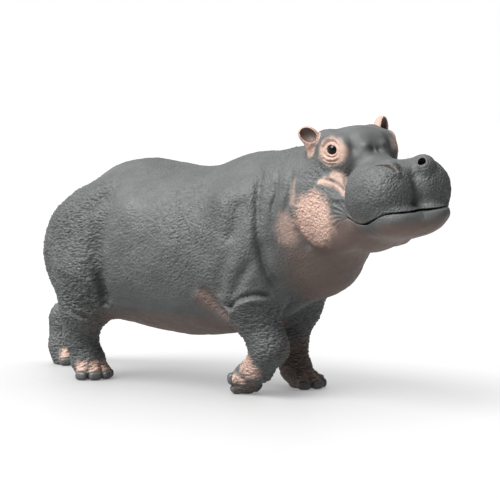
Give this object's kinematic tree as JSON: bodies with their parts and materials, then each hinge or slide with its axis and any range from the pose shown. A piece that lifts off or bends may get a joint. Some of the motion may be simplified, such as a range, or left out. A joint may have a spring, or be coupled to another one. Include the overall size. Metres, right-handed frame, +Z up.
{
  "type": "hippopotamus",
  "caption": "Life-size common hippopotamus in mid walk with its head turned a little to the right and its mouth closed, as a still museum model.",
  "frame": {"origin": "on the floor, under the middle of the whole animal's box", "axes": "+X forward towards the head, +Y to the animal's left, +Z up"},
  "size_m": [3.2384, 1.1282, 1.6405],
  "materials": {
    "skin": "matte grey wrinkled skin with pink patches",
    "eye": "wet dark brown, almost black",
    "nail": "grey horn with a faint sheen"
  },
  "bodies": {
    "root": {"ear_left": "skin", "ear_right": "skin", "lower_jaw": "skin", "head": "skin", "forefoot_right": "skin", "foreleg_right": "skin", "forefoot_left": "skin", "foreleg_left": "skin", "hindfoot_right": "skin", "hindleg_right": "skin", "hindfoot_left": "skin", "hindleg_left": "skin", "tail": "skin", "neck": "skin", "trunk": "skin", "eye_left": "eye", "eye_right": "eye", "nail_fore_right_1": "nail", "nail_fore_right_2": "nail", "nail_fore_right_3": "nail", "nail_fore_right_4": "nail", "nail_fore_left_1": "nail", "nail_fore_left_2": "nail", "nail_fore_left_3": "nail", "nail_fore_left_4": "nail", "nail_hind_right_1": "nail", "nail_hind_right_2": "nail", "nail_hind_right_3": "nail", "nail_hind_right_4": "nail", "nail_hind_left_1": "nail", "nail_hind_left_2": "nail", "nail_hind_left_3": "nail", "nail_hind_left_4": "nail"}
  },
  "joints": []
}
